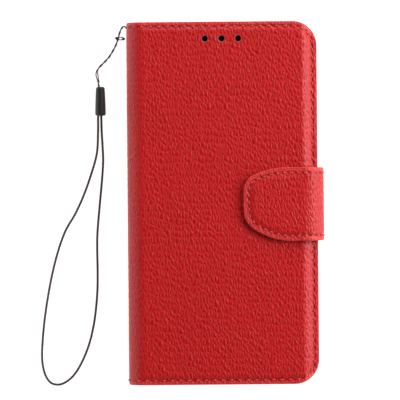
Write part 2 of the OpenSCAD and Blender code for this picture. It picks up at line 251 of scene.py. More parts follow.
def leather(name, light, dark, crease, margin, roughness, grain_bump, coat):
    """Embossed leather. The hide attribute gives the place on it. The seam attribute gives how far it is from
    the nearest stitch hole, along the seam and across it, and from the nearest round hole. margin is the
    paler colour outside the seam, a painted sheen on the edge band, and coat is the weight of the clear
    finish."""
    made, nodes, shader = material(name)
    where = nodes.add("ShaderNodeAttribute", attribute_name="hide").outputs["Vector"]
    height = grain(nodes, where)
    cloud = nodes.noise(where, 0.045, 3.0)
    speck = nodes.noise(where, 5.5, 2.0)
    base = nodes.mix(nodes.ramp(cloud, 0.38, 0.62), dark, light)
    base = nodes.mix(nodes.ramp(height, 0.7, 0.1, 0.0, 0.85), base, crease)
    seam = nodes.add("ShaderNodeAttribute", attribute_name="seam").outputs["Vector"]
    parts = nodes.add("ShaderNodeSeparateXYZ", {0: seam})
    along, across = (nodes.math("POWER", parts.outputs[k], 2.0) for k in (0, 1))
    far = nodes.math("SQRT", nodes.math("ADD", nodes.math("MULTIPLY", along, 0.6), across))
    # Outside the seam the colour turns paler: a painted sheen standing in for the gloss of the rounded edge
    # band.
    base = nodes.mix(nodes.ramp(parts.outputs[1], -0.3, -0.9, 0.0, 0.85), base, margin)
    base = nodes.mix(nodes.ramp(far, 0.25, 0.8, 0.6, 0.0), base, HOLE_SHADE)
    base = nodes.mix(nodes.ramp(parts.outputs[2], 0.05, 0.4, 0.75, 0.0), base, RAW_EDGE)
    nodes.put(shader.inputs["Base Color"], base)
    rough = nodes.ramp(height, 0.0, 1.0, roughness + 0.16, roughness)
    rough = nodes.math("ADD", rough, nodes.ramp(speck, 0.3, 0.7, -0.03, 0.05))
    nodes.put(shader.inputs["Roughness"], rough)
    shader.inputs["Specular IOR Level"].default_value = 0.14
    shader.inputs["Coat Weight"].default_value = coat
    shader.inputs["Coat Roughness"].default_value = 0.42
    pores = nodes.math("MULTIPLY_ADD", speck, 0.25)
    nodes.put(pores.node.inputs[2], height)
    bump(nodes, shader, pores, grain_bump)
    return made


OUTER = leather(
    "outer_leather",
    (0.46, 0.0014, 0.0028, 1),
    (0.43, 0.0011, 0.0024, 1),
    (0.57, 0.0070, 0.0090, 1),
    # margin: the paler colour outside the seam, a painted sheen on the edge band
    (0.64, 0.032, 0.034, 1),
    0.34,
    0.24,
    0.45,
)
LINING = leather(
    "lining_leather",
    (0.38, 0.0080, 0.0100, 1),
    (0.33, 0.0065, 0.0085, 1),
    (0.40, 0.012, 0.014, 1),
    (0.40, 0.010, 0.012, 1),
    0.55,
    0.025,
    0.0,
)


def plain(name, colour, other, scale, roughness, bumps, specular=0.4, metallic=0.0, speck=(0.35, 0.65)):
    """A moulded, cast or woven finish: two colours in a fine noise, and small bumps."""
    made, nodes, shader = material(name)
    where = nodes.add("ShaderNodeTexCoord").outputs["Object"]
    fine = nodes.noise(where, scale / MM, 3.0)
    nodes.put(shader.inputs["Base Color"], nodes.mix(nodes.ramp(fine, *speck), colour, other))
    nodes.put(shader.inputs["Roughness"], nodes.ramp(fine, 0.2, 0.8, roughness - 0.05, roughness + 0.08))
    shader.inputs["Specular IOR Level"].default_value = specular
    shader.inputs["Metallic"].default_value = metallic
    bump(nodes, shader, fine, bumps)
    return made


THREAD = plain("red_thread", (0.78, 0.085, 0.080, 1), (0.62, 0.045, 0.042, 1), 5.0, 0.45, 0.03)
CORD = plain("dark_cord", (0.035, 0.026, 0.022, 1), (0.095, 0.070, 0.056, 1), 4.0, 0.7, 0.04)
BEAD = plain("black_bead", (0.008, 0.008, 0.008, 1), (0.014, 0.013, 0.013, 1), 1.2, 0.5, 0.012, 0.5)
TRAY = plain("black_tray", (0.014, 0.014, 0.015, 1), (0.022, 0.022, 0.023, 1), 3.0, 0.46, 0.02)
BOARD_GREY = plain("grey_board", (0.17, 0.16, 0.15, 1), (0.11, 0.10, 0.095, 1), 2.2, 0.9, 0.04)
GLUE = plain("clear_glue", (0.60, 0.58, 0.52, 1), (0.52, 0.50, 0.45, 1), 1.0, 0.3, 0.01)
STEEL = plain("plated_steel", (0.55, 0.55, 0.56, 1), (0.42, 0.42, 0.43, 1), 3.0, 0.33, 0.006, 0.5, 1.0)


# ---------------------------------------------------------------- meshes
def mesh_object(name, verts, faces, finish, attributes=(), sharp=35):
    """A piece from points in millimetres, with vectors stored on its points."""
    mesh = bpy.data.meshes.new(name)
    mesh.from_pydata((np.asarray(verts) * MM).tolist(), [], faces)
    for label, values in dict(attributes).items():
        data = mesh.attributes.new(label, "FLOAT_VECTOR", "POINT").data
        data.foreach_set("vector", np.asarray(values, np.float32).ravel())
    mesh.polygons.foreach_set("use_smooth", [True] * len(mesh.polygons))
    mesh.set_sharp_from_angle(angle=math.radians(sharp))
    mesh.materials.append(finish)
    obj = bpy.data.objects.new(name, mesh)
    bpy.context.collection.objects.link(obj)
    return obj


def tube_faces(rings, sides, closed=False):
    faces = []
    for i in range(rings if closed else rings - 1):
        a, b = i * sides, (i + 1) % rings * sides
        for k in range(sides):
            m = (k + 1) % sides
            faces.append((a + k, a + m, b + m, b + k))
    if not closed:
        faces += [tuple(range(sides - 1, -1, -1)), tuple(range((rings - 1) * sides, rings * sides))]
    return faces


def tube(centre, radius, sides, closed=False):
    """Points and faces of a round tube along a line of points."""
    n = len(centre)
    t = np.roll(centre, -1, 0) - np.roll(centre, 1, 0) if closed else np.gradient(centre, axis=0)
    t = unit(t)
    s = unit(np.cross(t, [0.03, 0.02, 1.0]))
    u = np.cross(t, s)
    r = np.broadcast_to(np.asarray(radius, float), (n,))[:, None, None]
    a = (np.arange(sides) * 2 * math.pi / sides)[None, :, None]
    verts = centre[:, None] + r * (np.cos(a) * s[:, None] + np.sin(a) * u[:, None])
    return verts.reshape(-1, 3), tube_faces(n, sides, closed)


def joined(parts):
    """Several (points, faces) as one."""
    verts, faces, base = [], [], 0
    for v, f in parts:
        verts.append(v)
        faces += [tuple(k + base for k in q) for q in f]
        base += len(v)
    return np.concatenate(verts), faces


# ---------------------------------------------------------------- lanyard
STRING_POINTS = [
    [-39.6, 75.9, 2.6], [-40.9, 76.2, 2.6], [-41.8, 76.9, 2.2], [-42.5, 76.8, 1.6], [-43.2, 75.9, 1],
    [-43.8, 74.7, 0.6], [-44.2, 73.5, 0.55], [-44.8, 71.3, 0.55], [-45.8, 68.6, 0.55], [-47.9, 64.9, 0.55],
    [-49.6, 62.7, 0.55], [-51.6, 60.7, 0.55], [-53, 59.3, 0.55], [-53.8, 58, 0.55], [-54, 56.5, 0.55],
    [-53.7, 54.7, 0.6], [-53.4, 53.3, 0.9], [-53.3, 52.1, 1.5], [-53.1, 50.9, 2], [-52.8, 49.8, 2.1],
]
LOOP_POINTS = [
    [-53.4, 39.5, 2.1], [-53.6, 37, 1.7], [-53.7, 31.5, 0.6], [-54.3, 22, 0.6], [-57, 12.5, 0.6],
    [-60.1, 4, 0.6], [-63.8, -4, 0.6], [-68.2, -11.5, 0.6], [-71.5, -20.4, 0.6], [-74.1, -30.2, 0.6],
    [-76, -39.8, 0.6], [-77.5, -49.4, 0.6], [-78.5, -59, 0.6], [-78.8, -67, 0.6], [-77.8, -73, 0.6],
    [-75.5, -77, 0.6], [-72.1, -78.2, 0.6], [-68.6, -77.1, 0.6], [-64.9, -73.9, 0.6], [-61.4, -68.2, 0.6],
    [-58.4, -60.9, 0.6], [-56.3, -52.5, 0.6], [-55.1, -44, 0.6], [-54.5, -35.9, 0.6], [-54.4, -27.8, 0.6],
    [-54.5, -19.6, 0.6], [-54.3, -12, 0.6], [-53.2, 0, 0.6], [-52.2, 10, 0.6], [-51.6, 18.5, 0.6],
    [-51.8, 25.5, 0.6], [-52.1, 31.3, 0.8], [-52.2, 37, 1.7], [-52.2, 39.5, 2.1],
]
BEAD_FOOT = np.array([-52.5, 38.4, 2.4])
BEAD_L = 12.4
KNOTS = np.array([[-45.3, 71.9, 1.0], [-42.3, 71.6, 1.0]])
EYE_Y, EYE_KNOT = 55.7, np.array([-53.35, 53.2, 0.95])


def plait(route, reach, strand_r, period, strands=3):
    """Strands that cross over and under each other along a route, as (points, faces)."""
    _, side, up = frames(route)
    at = lengths(route) * 2 * math.pi / period
    parts = []
    for k in range(strands):
        turn = at + 2 * math.pi * k / strands
        aside, above = reach[0] * np.sin(turn), reach[1] * np.sin(2 * turn)
        parts.append(tube(route + side * aside[:, None] + up * above[:, None], strand_r, 8))
    return joined(parts)


def twist(route, reach, strand_r, period, eye=None):
    """Two strands wound round each other along a route, which part side by side where it passes y = eye."""
    _, side, up = frames(route)
    parted = np.zeros(len(route)) if eye is None else hump(route[:, 1] - eye, 1.7)
    rate = (1 - 0.9 * hump(route[:, 1] - eye, 2.6) if eye else 1.0) * 2 * math.pi / period
    at = np.cumsum(np.gradient(lengths(route)) * rate)
    at -= at[np.argmax(parted)]
    spread = reach + 0.22 * parted
    parts = []
    for k in range(2):
        turn = at + math.pi * k
        aside, above = spread * np.cos(turn), reach * np.sin(turn)
        parts.append(tube(route + side * aside[:, None] + up * above[:, None], strand_r, 8))
    return joined(parts)


def knot(centre, size):
    """A small knot of cord."""
    turn = np.linspace(0, 2 * math.pi, 48, endpoint=False)
    out = 0.42 + 0.18 * np.cos(3 * turn)
    line = np.stack([out * np.cos(2 * turn), out * np.sin(2 * turn), 0.2 * np.sin(3 * turn)], axis=1)
    return tube(centre + size * line, 0.2, 8, closed=True)


string_route = spaced(smooth(STRING_POINTS, 8), 0.3)
string_parts = [twist(string_route, 0.2, 0.24, 5.5, EYE_Y), knot(EYE_KNOT, 0.7)]
string = mesh_object("lanyard_string_twisted", *joined(string_parts), CORD, sharp=60)
loop_route = spaced(smooth(LOOP_POINTS, 8), 0.35)
loop = mesh_object("wrist_loop_plait", *plait(loop_route, (0.3, 0.12), 0.24, 3.2), CORD, sharp=60)


def lathe(profile, sides):
    """A body of revolution about +Y from (radius, y) points, closed by its profile at both ends."""
    a = np.arange(sides) * 2 * math.pi / sides
    rings = [np.stack([r * np.cos(a), np.full(sides, y), -r * np.sin(a)], axis=1) for r, y in profile]
    return np.concatenate(rings), tube_faces(len(profile), sides)


def bead():
    """A tapered barrel with a rounded top and a hollow lower end, lying on the table."""
    high, low = 1.9, 2.3
    hollow = [(0.5, 1.6), (1.2, 1.5), (1.45, 1.1), (1.55, 0.3), (1.75, 0.0)]
    barrel = [(1.95, 0.02), (2.14, 0.16), (2.25, 0.5), (low, 1.0), (low, 2.0), (2.25, 4.0), (2.17, 6.5)]
    barrel += [(2.07, 9.0), (1.97, 10.8), (high, 11.6)]
    top = [(1.75, 12.1), (1.45, 12.35), (0.95, BEAD_L), (0.6, 12.3), (0.45, 12.0)]
    line = spaced(smooth(hollow + barrel + top, 4), 0.2)
    verts, faces = lathe(line, 48)
    tilt = math.atan((low - high) / BEAD_L)
    turn = np.array([[1, 0, 0], [0, math.cos(tilt), math.sin(tilt)], [0, -math.sin(tilt), math.cos(tilt)]])
    return verts @ turn.T + BEAD_FOOT, faces


bead_piece = mesh_object("lanyard_bead_barrel", *bead(), BEAD, sharp=50)


def hitch():
    """A flat loop of string across the lanyard, with a knot at each end."""
    middle = KNOTS.mean(axis=0)
    parts = []
    for side in (-1, 1):
        left, right = (middle + [x, 0.5 * side, 0.2] for x in (-0.8, 0.8))
        line = smooth([KNOTS[0], left, right, KNOTS[1]], 8)
        parts.append(twist(spaced(line, 0.15), 0.1, 0.15, 2.4))
    return joined(parts + [knot(KNOTS[0], 0.85), knot(KNOTS[1], 0.85)])


hitch_piece = mesh_object("lanyard_hitch_knot", *hitch(), CORD, sharp=60)


def rides(piece, body, node):
    """A piece that moves with one body and stands in for one CAD node."""
    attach(piece, body)
    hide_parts(node)


rides(string, "back_half", "lanyard_string")
rides(loop, "back_half", "wrist_loop")
rides(bead_piece, "back_half", "lanyard_bead")
rides(hitch_piece, "back_half", "lanyard_hitch")

# ---------------------------------------------------------------- the hide
# The outer leather is one sheet: the front cover, round the spine, and the back cover. A place on it is
# (u, v): v is Y, and u is X on the front, carried on along the sheet past the spine.
FAR = 999.0  # a cut that is past the sheet's end
EDGE_X, EDGE_Y = cad("front_skin")[1][:2]
CORNER_R = 10.5
SKIN, LINING_T, BOARD = 0.9, 0.5, 1.0
SEAM = 2.0  # from the outline to the seam
SEAM_WIDTH, HOLE_WIDTH = 0.7, 0.48
# How deep a seam's valley is, and how much deeper its holes are.
OUTER_DIP, LINING_DIP, POCKET_DIP = (0.12, 0.13), (0.18, 0.22), (0.1, 0.12)
STRAP_DIP, STRAP_LINING_DIP = (0.14, 0.18), (0.12, 0.18)
HIDE_GRAIN, STRAP_GRAIN, LINING_GRAIN = 0.23, 0.22, 0.03
RIM_R = 4.5
RIM_X = RIM_R - EDGE_X
TURN_R = 7.5
TURN_X, TURN_Z = TURN_R - EDGE_X, CASE_H - TURN_R
TURN_END = math.pi / 2 * TURN_R
WEB_END = TURN_END + TURN_Z - RIM_R
RIM_END = WEB_END + math.pi / 2 * RIM_R
HIDE_END = TURN_X - RIM_END - (EDGE_X - RIM_X)
FRONT_CUT, BACK_CUT = TURN_X - 3.9, TURN_X - 13.9  # where the sheet's three pieces meet
FALL, FALL_START, FALL_END = 1.95, 34.1, 39.3
BOARD_STEP = 0.45  # how far the skin drops past the edge of the front board
SKIN_BEND, BOARD_EDGE = (1.7, 4.2), (2.3, 3.9)  # where it does, and where the boards end, inside the outline
CALM = 0.45  # how much of the grain is stretched away over the spine
GRAIN_EDGE = (0.1, 0.6)  # the grain fades in between these distances from an edge
AWAY = 50.0  # a distance past every seam and hole
NEAR_EDGE, NEAR_HOLE = 4.0, 3.0
HIDE_STITCH, STRAP_STITCH = 3.62, 3.0
OUTLINE_PITCH = 0.36
CUT_GAP, POINT_GAP, RING_GAP = 0.15, 0.12, 0.16
UNDER_GAP, UNDER_CUT_GAP, UNDER_MARGIN = 0.7, 0.5, 0.9
# Rows of points from the outline inwards, closest at the edge and the seam.
MARGIN = [0, 0.1, 0.24, 0.42, 0.66, 0.95, 1.25, 1.5, 1.7, 1.85, 2.0, 2.15, 2.3, 2.5, 2.8, 3.15, 3.5]
MARGIN = np.array(MARGIN)
SOUND_HOLES, SOUND_HOLE_R = [(-7.1, 70.7), (0.1, 70.7), (7.2, 70.7)], 1.3
CAMERA_AT, CAMERA_SIZE, CAMERA_R = (21.5, 54.0), (15.0, 29.0), 6.9
HOLE_Y, HOLE_Z = STRING_POINTS[0][1:]
CORD_HOLE = (TURN_X - WEB_END - RIM_R * math.asin((RIM_R - HOLE_Z) / RIM_R), HOLE_Y)
CORD_HOLE_R = 0.9


def wrap(u, v, depth):
    """The point of the closed case at a place on the hide, this far inside its outer face."""
    s = TURN_X - u
    turn = math.pi / 2 + s / TURN_R
    rim = math.pi + (s - WEB_END) / RIM_R
    cases = [s < 0, s < TURN_END, s < WEB_END, s < RIM_END]
    turn_r, rim_r = TURN_R - depth, RIM_R - depth
    x = [u, TURN_X + turn_r * np.cos(turn), depth - EDGE_X, RIM_X + rim_r * np.cos(rim)]
    z = [CASE_H - depth, TURN_Z + turn_r * np.sin(turn), TURN_Z - s + TURN_END, RIM_R + rim_r * np.sin(rim)]
    return np.stack([np.select(cases, x, RIM_X + s - RIM_END), v, np.select(cases, z, depth)], axis=1)


def near_tree(points):
    """A search tree of flat places."""
    tree = KDTree(len(points))
    for i, p in enumerate(points):
        tree.insert((p[0], p[1], 0), i)
    tree.balance()
    return tree


def gaps(tree, points):
    """Distances from places to the nearest one in the tree."""
    return np.array([tree.find((a, b, 0))[2] for a, b in points])


class Edge:
    """An outline with the piece on its left, and the seam along it. A place is (s, d): s is counted in
    stitches along the seam, and d is the distance inside the outline."""

    def __init__(self, line, inset, closed, stitch=3.1):
        q = np.array(line, float)
        t = np.roll(q, -1, 0) - np.roll(q, 1, 0) if closed else np.gradient(q, axis=0)
        n = unit(np.stack([t[:, 1], -t[:, 0]], axis=1))
        if closed:
            q, n = np.concatenate([q, q[:1]]), np.concatenate([n, n[:1]])
        run = lengths(q - inset * n)
        self.count = int(round(run[-1] / stitch))
        self.stitch = run[-1] / self.count
        self.q, self.n, self.inset, self.closed = q, n, inset, closed
        self.s = run * self.count / run[-1]
        self.tree = near_tree(q)

    def at(self, s, d):
        """The flat places at s and d."""
        s = np.mod(s, self.count) if self.closed else s
        q, n = (np.stack([np.interp(s, self.s, a[:, k]) for k in (0, 1)], 1) for a in (self.q, self.n))
        return q - np.asarray(d, float)[..., None] * unit(n)

    def hole_gap(self, s):
        """Distance along the seam to the nearest stitch hole."""
        return np.abs(s - np.round(s)) * self.stitch

    def find(self, p):
        """(s, d) of flat places. Near the outline d is measured square to it."""
        near = [self.tree.find((a, b, 0)) for a, b in p]
        index = np.array([k[1] for k in near])
        d = np.einsum("ij,ij->i", self.q[index] - p, self.n[index])
        far = np.array([k[2] for k in near])
        return self.s[index], np.where(d < 0, -far, np.where(far > NEAR_EDGE, far, d))


def rounded_rectangle(low, high, r, pitch=0.4):
    """The outline of a rectangle with round corners, counter-clockwise from its top right corner."""
    out = []
    for (cx, cy), start in (((1, 1), 0), ((0, 1), 90), ((0, 0), 180), ((1, 0), 270)):
        centre = (high[0] - r if cx else low[0] + r, high[1] - r if cy else low[1] + r)
        n = max(2, int(r * 1.6 / pitch) * 2)
        for k in range(n + 1):
            a = math.radians(start + 90 * k / n)
            out.append((centre[0] + r * math.cos(a), centre[1] + r * math.sin(a)))
    out = np.array(out + out[:1])
    run = lengths(out)
    parts = []
    for i in range(len(out) - 1):
        k = max(1, int((run[i + 1] - run[i]) / pitch))
        parts.append(out[i] + (out[i + 1] - out[i]) * np.arange(k)[:, None] / k)
    return np.concatenate(parts)


def ring(centre, r, n=40):
    a = np.arange(n) * 2 * math.pi / n
    return np.stack([centre[0] + r * np.cos(a), centre[1] + r * np.sin(a)], axis=1)


def inside(p, loop):
    """Whether places are inside a convex loop that runs counter-clockwise."""
    result = np.ones(len(p), bool)
    for a, b in zip(loop, np.roll(loop, -1, 0)):
        result &= (b[0] - a[0]) * (p[:, 1] - a[1]) - (b[1] - a[1]) * (p[:, 0] - a[0]) > 0
    return result


def flat_mesh(loops, points):
    """Places and triangles of the region inside the first loop and outside the others. The loops' own points
    come first."""
    every = np.concatenate(list(loops) + [points])
    edges, base = [], 0
    for line in loops:
        edges += [(base + i, base + (i + 1) % len(line)) for i in range(len(line))]
        base += len(line)
    found = delaunay_2d_cdt([Vector(p) for p in every.tolist()], edges, [], 1, 1e-5)
    source = [k[0] for k in found[3]]
    faces = np.array([[source[i] for i in f] for f in found[2]])
    centres = every[faces].mean(axis=1)
    keep = np.ones(len(faces), bool)
    for line in loops[1:]:
        keep &= ~inside(centres, line)
    faces = faces[keep]
    a, b, c = (every[faces[:, k]] for k in range(3))
    turn = (b[:, 0] - a[:, 0]) * (c[:, 1] - a[:, 1]) - (b[:, 1] - a[:, 1]) * (c[:, 0] - a[:, 0])
    faces[turn < 0] = faces[turn < 0][:, ::-1]
    return every, faces


def grid(low, high, pitch):
    x, y = (np.arange(a + pitch / 2, b, pitch) for a, b in zip(low, high))
    shift = np.where(np.arange(len(y)) % 2, pitch / 4, -pitch / 4)
    return np.stack([(x[None, :] + shift[:, None]).ravel(), np.repeat(y, len(x))], axis=1)


def clear_of(points, loops, gap):
    """The points that stay this far from the loops, and out of the holes."""
    keep = gaps(near_tree(np.concatenate(loops)), points) > gap
    for line in loops[1:]:
        keep &= ~inside(points, line)
    return points[keep]


def calm(u):
    """1 where the hide is stretched over the spine and its grain is shallow."""
    return step(u, TURN_X - 28, TURN_X - 22) * (1 - step(u, TURN_X - 1, TURN_X + 4))


def hole_distance(p, holes):
    """Distance of places from the nearest hole."""
    d = np.full(len(p), AWAY)
    for line in holes:
        gap = np.full(len(p), AWAY)
        near = np.all((p > line.min(0) - NEAR_HOLE) & (p < line.max(0) + NEAR_HOLE), axis=1)
        if near.any():
            gap[near] = np.linalg.norm(p[near][:, None] - line[None], axis=2).min(axis=1)
        d = np.minimum(d, gap)
    return d


def between(points, cuts, gap):
    """The places that are between the two cuts, and this far from them."""
    low, high = cuts
    return (points[:, 0] > low + gap) & (points[:, 0] < high - gap)


def hole_rings(line):
    """Rings of points just outside a hole, for its rounded edge."""
    out = unit(line - line.mean(0))
    return [line + out * gap for gap in (0.1, 0.25, 0.45, 0.8)]


def shown_places(edge, s, loops, cuts, pitch):
    """The fine points of a sheet's shown face: rows along its outline, a grid, and rings round its holes."""
    rows, depths = np.meshgrid(s, MARGIN[1:], indexing="ij")
    strip = edge.at(rows.ravel(), depths.ravel())
    strip = strip[between(strip, cuts, CUT_GAP)]
    spots = grid(loops[0].min(0), loops[0].max(0), pitch)
    spots = spots[between(spots, cuts, pitch / 2)]
    spots = spots[edge.find(spots)[1] > MARGIN[-1] + pitch * 0.6]
    points = clear_of(np.concatenate([strip, spots]), loops, POINT_GAP)
    rings = [k for line in loops[1:] for k in hole_rings(line)]
    if not rings:
        return points
    around = np.concatenate(rings)
    points = points[gaps(near_tree(around), points) > RING_GAP]
    return np.concatenate([points, clear_of(around, loops, 0.05)])


def sheet(name, edge, cuts, holes, place, faces, finish, pitch, relief, back_pitch=2.2):
    """A sheet of leather as a closed solid. edge is its outline, cuts are where u starts and ends, and place
    puts (u, v, depth) in space. faces are the rules for the depth of its shown and hidden faces, and relief
    is the height of the grain on the shown one."""
    s = np.arange(0, edge.count, 1 / round(edge.stitch / OUTLINE_PITCH))
    line = edge.at(s, np.zeros(len(s)))
    kept = between(line, cuts, CUT_GAP)
    loop = line if kept.all() else cut_loop(line, kept, cuts, pitch)
    loops = [loop] + list(holes)
    top, top_faces = flat_mesh(loops, shown_places(edge, s, loops, cuts, pitch))
    coarse = grid(loop.min(0), loop.max(0), back_pitch)
    coarse = coarse[between(coarse, cuts, UNDER_CUT_GAP)]
    coarse = clear_of(coarse[edge.find(coarse)[1] > UNDER_MARGIN], loops, UNDER_GAP)
    under, under_faces = flat_mesh(loops, coarse)

    def depths(p, rule):
        found_s, found_d = edge.find(p)
        found_d = np.clip(found_d, 0, None)
        gap = hole_distance(p, holes)
        along = edge.hole_gap(found_s)
        return along, found_d, rule(p[:, 0], p[:, 1], found_d, gap, along)

    top_along, top_d, top_depth = depths(top, faces[0])
    under_along, under_d, under_depth = depths(under, faces[1])
    sign = 1 if under_depth.mean() > top_depth.mean() else -1
    soft = step(top_d, *GRAIN_EDGE) * step(hole_distance(top, holes), *GRAIN_EDGE)
    soft *= 1 - CALM * calm(top[:, 0])
    top_depth = top_depth + sign * relief * soft * (1 - grain_height(top[:, 0], top[:, 1]))
    verts = np.concatenate([place(*top.T, top_depth), place(*under.T, under_depth)])
    n = len(top)
    every = top_faces[:, ::sign].tolist() + (under_faces[:, ::-sign] + n).tolist()
    base = 0
    for k, line in enumerate(loops):
        m = len(line)
        way = -sign if k else sign
        for i in range(m):
            a, b = base + i, base + (i + 1) % m
            every.append((a, a + n, b + n, b)[::way])
        base += m
    places = np.concatenate([top, under])
    hide = np.c_[places, np.zeros(len(places))]
    across = np.concatenate([top_d, under_d]) - edge.inset
    seam = np.c_[np.concatenate([top_along, under_along]), across, hole_distance(places, holes)]
    return mesh_object(name, verts, every, finish, {"hide": hide, "seam": seam})


def cut_loop(line, kept, cuts, pitch):
    """The outline of the part of a sheet between two cuts. kept says which points of the line are in it."""
    first = np.flatnonzero(kept & ~np.roll(kept, 1))[0]
    runs, run = [], []
    for i in np.roll(np.arange(len(line)), -first):
        if kept[i]:
            run.append(i)
        elif run:
            runs.append(run)
            run = []
    if run:
        runs.append(run)
    out = []
    for k, run in enumerate(runs):
        out.append(line[run])
        here, after = line[run[-1]], line[runs[(k + 1) % len(runs)][0]]
        cut = min(cuts, key=lambda c: abs(here[0] - c))
        out.append(cut_column(cut, here[1], after[1], pitch))
    return np.concatenate(out)


def cut_column(u, start, end, pitch):
    """The points down a cut, closer together near the outline."""
    sign = 1 if end > start else -1
    width = abs(end - start)
    count = max(3, int((width - 2 * MARGIN[-1]) / pitch))
    inner = np.linspace(MARGIN[-1], width - MARGIN[-1], count)
    v = np.concatenate([MARGIN[:-1], inner, (width - MARGIN[:-1])[::-1]])
    return np.stack([np.full(len(v), u), start + sign * v], axis=1)


HIDE_LINE = rounded_rectangle((HIDE_END, -EDGE_Y), (EDGE_X, EDGE_Y), CORNER_R)
HIDE_EDGE = Edge(HIDE_LINE, SEAM, True, HIDE_STITCH)
SOUND_LOOPS = [ring(p, SOUND_HOLE_R) for p in SOUND_HOLES]
CORD_LOOP = ring(CORD_HOLE, CORD_HOLE_R, 28)
BACK_U = TURN_X - RIM_END + RIM_X  # minus an X on the back cover gives its u
camera_u = BACK_U - CAMERA_AT[0]
CAMERA_LOOP = rounded_rectangle(
    (camera_u - CAMERA_SIZE[0] / 2, CAMERA_AT[1] - CAMERA_SIZE[1] / 2),
    (camera_u + CAMERA_SIZE[0] / 2, CAMERA_AT[1] + CAMERA_SIZE[1] / 2),
    CAMERA_R,
    0.6,
)


def front_fall(u):
    """How far the front cover's outer face falls over the margin on the strap's side."""
    return FALL * step(u, FALL_START, FALL_END)


def front_base(u, d):
    """Depth of the outer leather's outer face, without its seam: boards end inside the margin."""
    on_front = step(u, TURN_X - 3, TURN_X + 2)
    return front_fall(u) + BOARD_STEP * on_front * (1 - step(d, *SKIN_BEND))


def seam_dip(d, along, inset, depth, hole):
    """The valley that a seam pulls down, and its holes."""
    return depth * hump(d - inset, SEAM_WIDTH) + hole * hump(np.hypot(along, d - inset), HOLE_WIDTH)


POCKET_SEAM = 1.6
STRAP_LOW, STRAP_HIGH = cad("strap_side_skin")[0][1], cad("strap_side_skin")[1][1]
anchor_low, anchor_high = (k[:2] for k in cad("strap_anchor_stitching"))
anchor_mid, anchor_half = (anchor_low + anchor_high) / 2, (anchor_high - anchor_low) / 2
ANCHOR_INSET = 0.25
ANCHOR_LINE = rounded_rectangle(
    (BACK_U - anchor_high[0], anchor_low[1]), (BACK_U - anchor_low[0], anchor_high[1]), 0.5
)
ANCHOR_EDGE = Edge(ANCHOR_LINE, ANCHOR_INSET, True)
ANCHOR_DEPTH = 0.3


def anchor_groove(u, v):
    """The groove of the strap's anchor seam."""
    beyond_x = np.abs(u - BACK_U + anchor_mid[0]) - anchor_half[0]
    beyond_y = np.abs(v - anchor_mid[1]) - anchor_half[1]
    return ANCHOR_DEPTH * hump(np.maximum(beyond_x, beyond_y) + ANCHOR_INSET, 0.5)


# A rule gives a face's depth at (u, v). d is the distance inside the outline, gap the distance from the
# nearest round hole, and along the distance along the seam to the nearest stitch hole.
def outer_face(u, v, d, gap, along):
    edge = rounding(d, 1.5, 0.55) + rounding(gap, 0.7, 0.5)
    return anchor_groove(u, v) + front_base(u, d) + seam_dip(d, along, SEAM, *OUTER_DIP) + edge


def outer_back(u, v, d, gap, along):
    return front_base(u, d) + SKIN


def board_gap(u, v, d):
    """Room for the boards, and for the strap's anchor in the back cover's edge."""
    x = BACK_U - u
    covers = step(u, TURN_X + 0.1, TURN_X + 1.6) + step(x, RIM_X - 0.3, RIM_X + 1.4)
    across = step(STRAP_LOW - v, 1.4, 0.2) * step(v - STRAP_HIGH, 1.4, 0.2)
    return BOARD * np.maximum(covers * step(d, *BOARD_EDGE), across * step(x, 30, 34))


def lining_back(u, v, d, gap, along):
    return front_base(u, d) + SKIN + board_gap(u, v, d)


def lining_face(u, v, d, gap, along):
    dip = np.minimum(seam_dip(d, along, SEAM, *LINING_DIP), 0.3)
    edge = rounding(d, 0.3) + rounding(gap, 0.2)
    return lining_back(u, v, d, gap, along) + LINING_T - dip - edge


def outer_sheet(name, cuts, holes, pitch):
    return sheet(name, HIDE_EDGE, cuts, holes, wrap, (outer_face, outer_back), OUTER, pitch, HIDE_GRAIN)


def lining_sheet(name, cuts, holes, pitch):
    return sheet(name, HIDE_EDGE, cuts, holes, wrap, (lining_face, lining_back), LINING, pitch, LINING_GRAIN)


FRONT, SPINE, BACK = (FRONT_CUT, FAR), (BACK_CUT, FRONT_CUT), (-FAR, BACK_CUT)
BACK_HOLES = [CAMERA_LOOP, CORD_LOOP]
front_leather = outer_sheet("front_leather", FRONT, SOUND_LOOPS, 0.40)
spine_leather = outer_sheet("spine_leather", SPINE, [], 0.40)
back_leather = outer_sheet("back_leather", BACK, BACK_HOLES, 0.45)
front_inside = lining_sheet("front_lining_sheet", FRONT, SOUND_LOOPS, 0.9)
spine_inside = lining_sheet("spine_lining_sheet", SPINE, [], 0.7)
back_inside = lining_sheet("back_lining_sheet", BACK, BACK_HOLES, 0.9)


STITCH_SEEN = 1.2  # length of a stitch between its holes
STITCH_RISE, STITCH_SINK, STITCH_LIFT = 0.16, 0.34, 0.08
PLY_R = 0.17
PLY_SWAY = (0.12, 0.11)  # how far a ply winds sideways and up


def stitch_parts(edge, place, shown, inner, pick):
    """The thread of a seam, as two-ply stitches on one face or both. pick says at which places."""
    parts = []
    t = np.linspace(0, 1, 11)
    for k in range(edge.count):
        middle = edge.at(np.array([k + 0.5]), np.array([edge.inset]))[0]
        if not pick(*middle):
            continue
        s = k + 0.5 + (STITCH_SEEN / edge.stitch) * (t - 0.5)
        flat = edge.at(s, np.full(len(t), edge.inset))
        for rule, out in ((shown, 1), (inner, -1)):
            if rule is None:
                continue
            away = np.full(len(t), AWAY)
            level = rule(flat[:, 0], flat[:, 1], np.full(len(t), edge.inset), away, away)
            sink = STITCH_SINK * (hump(t, 0.09) + hump(1 - t, 0.09))
            arch = STITCH_LIFT + STITCH_RISE * np.sin(math.pi * t) ** 0.6 - sink
            for ply in (0, math.pi):
                turn = ply + 1.6 * math.pi * t
                depth = level - out * (arch + PLY_SWAY[1] * np.sin(turn))
                spots = edge.at(s, edge.inset + PLY_SWAY[0] * np.cos(turn))
                r = PLY_R * (1 - 0.5 * hump(t, 0.08) - 0.5 * hump(1 - t, 0.08))
                parts.append(tube(place(spots[:, 0], spots[:, 1], depth), r, 7))
    return parts


